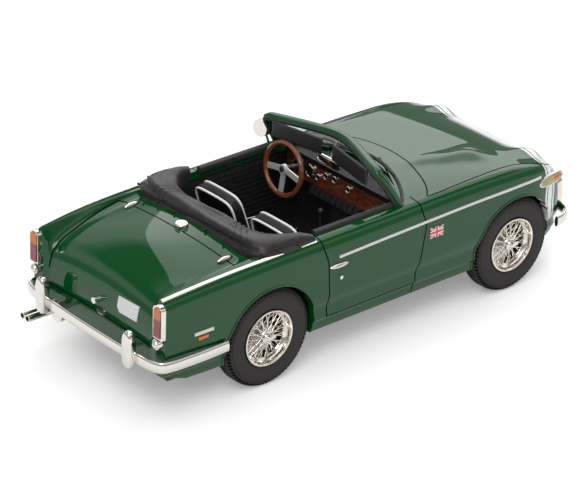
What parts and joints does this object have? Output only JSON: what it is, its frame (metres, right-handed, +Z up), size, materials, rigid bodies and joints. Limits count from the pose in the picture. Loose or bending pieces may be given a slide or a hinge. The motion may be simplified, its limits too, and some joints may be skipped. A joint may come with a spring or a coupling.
{
  "type": "diecast collector car",
  "caption": "Diecast collector model of an open two-seat roadster, folded soft top, wire wheels on turning axles, chrome bumpers, wooden dashboard and sealed doors.",
  "frame": {"origin": "on the ground, midway between the two axles and on the car's centre line", "axes": "+X towards the nose, +Y to the car's left, +Z up"},
  "size_m": [0.0922, 0.0354, 0.0291],
  "materials": {
    "green_paint": "high gloss enamel over cast zinc alloy",
    "chrome": "bright plated",
    "satin_chrome": "satin etched metal",
    "black_plastic": "satin black moulding",
    "hood_cloth": "soft sheen, moulded as folded cloth",
    "seat_black": "semi-matt, moulded as vinyl with white piping",
    "tyre_rubber": "matt rubber",
    "rubber": "matt",
    "wood": "varnished wood look",
    "clear": "clear moulding",
    "amber": "clear-coated",
    "red": "clear-coated",
    "silver_print": "printed silver",
    "flag_print": "printed badge",
    "steel": "bright steel"
  },
  "bodies": {
    "car": {"body_casting": "green_paint", "base_plate": "black_plastic", "base_screws": "steel", "interior_tub": "black_plastic", "seat_left": "seat_black", "seat_right": "seat_black", "dash_panel": "wood", "crash_pad": "black_plastic", "gauges": "chrome", "gear_lever_and_handbrake": "chrome", "steering_rim": "wood", "steering_spokes": "satin_chrome", "steering_column": "black_plastic", "windscreen_frame": "green_paint", "windscreen_glass": "clear", "screen_seal": "rubber", "sun_visors": "seat_black", "rear_view_mirror": "chrome", "wipers": "satin_chrome", "cockpit_trim": "rubber", "folded_hood": "hood_cloth", "hood_studs": "chrome", "rear_bumper": "chrome", "front_bumper": "chrome", "bumper_irons": "steel", "overriders": "chrome", "exhaust": "chrome", "tail_lamp_bezels": "chrome", "tail_lamp_amber_lenses": "amber", "tail_lamp_red_lenses": "red", "reversing_and_plate_lamps": "chrome", "headlamp_bezels": "chrome", "headlamp_lenses": "clear", "grille": "chrome", "side_lamp_bases": "chrome", "side_lamp_lenses": "amber", "side_strips": "silver_print", "wing_beads": "chrome", "wing_flags": "flag_print", "side_reflectors": "amber", "badges": "silver_print", "handles_and_locks": "chrome", "fuel_cap": "chrome", "boot_hinges": "chrome", "door_mirror": "chrome"},
    "front_wheels": {"front_axle": "steel", "tyre_front_left": "tyre_rubber", "tyre_front_right": "tyre_rubber", "rim_front_left": "chrome", "rim_front_right": "chrome", "spokes_and_hubs_front": "satin_chrome", "hub_nuts_front": "chrome"},
    "rear_wheels": {"rear_axle": "steel", "tyre_rear_left": "tyre_rubber", "tyre_rear_right": "tyre_rubber", "rim_rear_left": "chrome", "rim_rear_right": "chrome", "spokes_and_hubs_rear": "satin_chrome", "hub_nuts_rear": "chrome"}
  },
  "joints": [
    {"name": "front_wheels_roll", "type": "hinge", "parent": "car", "child": "front_wheels", "pos_m": [0.02605, 0, 0.0083], "axis": [0, 1, 0], "continuous": true},
    {"name": "rear_wheels_roll", "type": "hinge", "parent": "car", "child": "rear_wheels", "pos_m": [-0.02605, 0, 0.0083], "axis": [0, 1, 0], "continuous": true}
  ]
}
